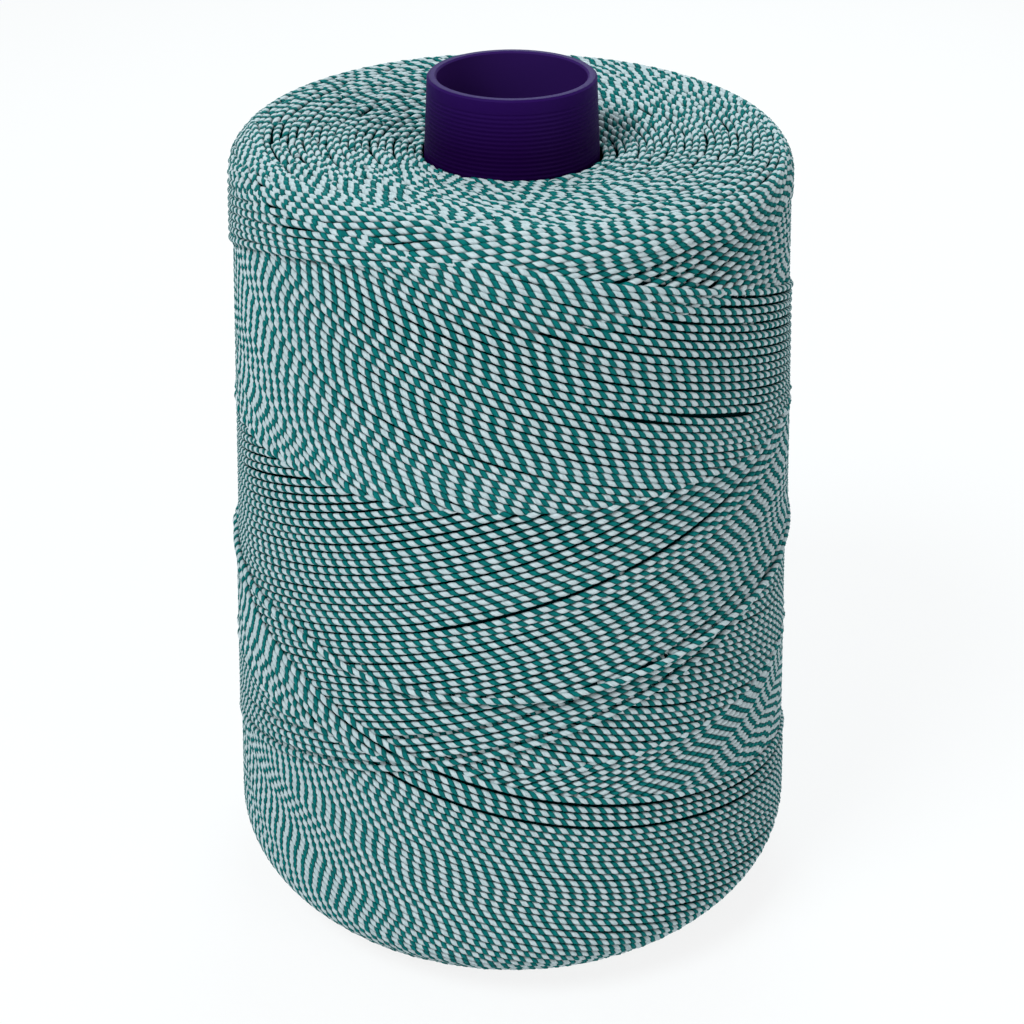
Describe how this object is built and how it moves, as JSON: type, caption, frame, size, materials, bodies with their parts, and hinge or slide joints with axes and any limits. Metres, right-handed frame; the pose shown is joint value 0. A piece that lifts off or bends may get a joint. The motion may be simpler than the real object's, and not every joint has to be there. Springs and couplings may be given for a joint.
{
  "type": "twisted line spool",
  "caption": "Cone of two-tone twisted line, cross-wound on a tapered plastic tube that is open at both ends, for drawing line off over the small end or from a spindle.",
  "frame": {"origin": "centre of the tube's wide end, on the surface that the package stands on", "axes": "+Z along the tube, out of its small end; the package is round, so +X and +Y are any two square directions"},
  "size_m": [0.1377, 0.1377, 0.2],
  "materials": {
    "tube": "satin dark indigo moulded plastic, fine turned grooves under the small end's rim",
    "line": "two plies twisted together, one off-white and one teal"
  },
  "bodies": {
    "root": {"winding_tube": "tube", "inner_winding": "line", "outer_winding": "line"}
  },
  "joints": []
}
